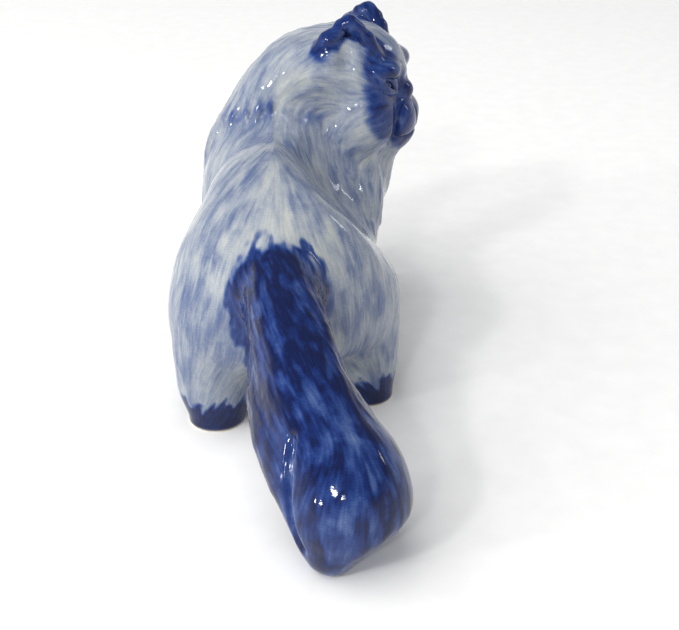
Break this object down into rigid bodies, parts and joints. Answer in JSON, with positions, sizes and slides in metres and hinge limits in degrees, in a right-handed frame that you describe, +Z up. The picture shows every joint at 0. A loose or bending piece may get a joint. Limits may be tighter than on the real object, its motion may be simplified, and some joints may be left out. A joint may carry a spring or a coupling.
{
  "type": "ceramic cat figurine",
  "caption": "Glazed porcelain figurine of a long-haired cat standing with its head turned aside and its bushy tail trailing to the ground.",
  "frame": {"origin": "middle of the footprint, on the table that the paws stand on", "axes": "+Z up, -Y the way the body faces, +X the cat's left side; the tail trails towards +Y and the head is turned towards -X"},
  "size_m": [0.0525, 0.1312, 0.0702],
  "materials": {
    "pale_glaze": "clear gloss glaze over pale blue-grey brushwork on white porcelain",
    "cobalt_glaze": "clear gloss glaze over streaky cobalt-blue brushwork",
    "bare_clay": "unglazed fired slip, matt"
  },
  "bodies": {
    "root": {"torso_shell": "pale_glaze", "head_shell": "pale_glaze", "left_ear": "cobalt_glaze", "right_ear": "cobalt_glaze", "tail": "cobalt_glaze", "left_foreleg": "cobalt_glaze", "right_foreleg": "cobalt_glaze", "left_hindleg": "cobalt_glaze", "right_hindleg": "cobalt_glaze", "collar_slip_joint": "bare_clay", "tail_slip_joint": "bare_clay", "left_ear_slip_joint": "bare_clay", "right_ear_slip_joint": "bare_clay", "left_foreleg_slip_joint": "bare_clay", "right_foreleg_slip_joint": "bare_clay", "left_hindleg_slip_joint": "bare_clay", "right_hindleg_slip_joint": "bare_clay"}
  },
  "joints": []
}
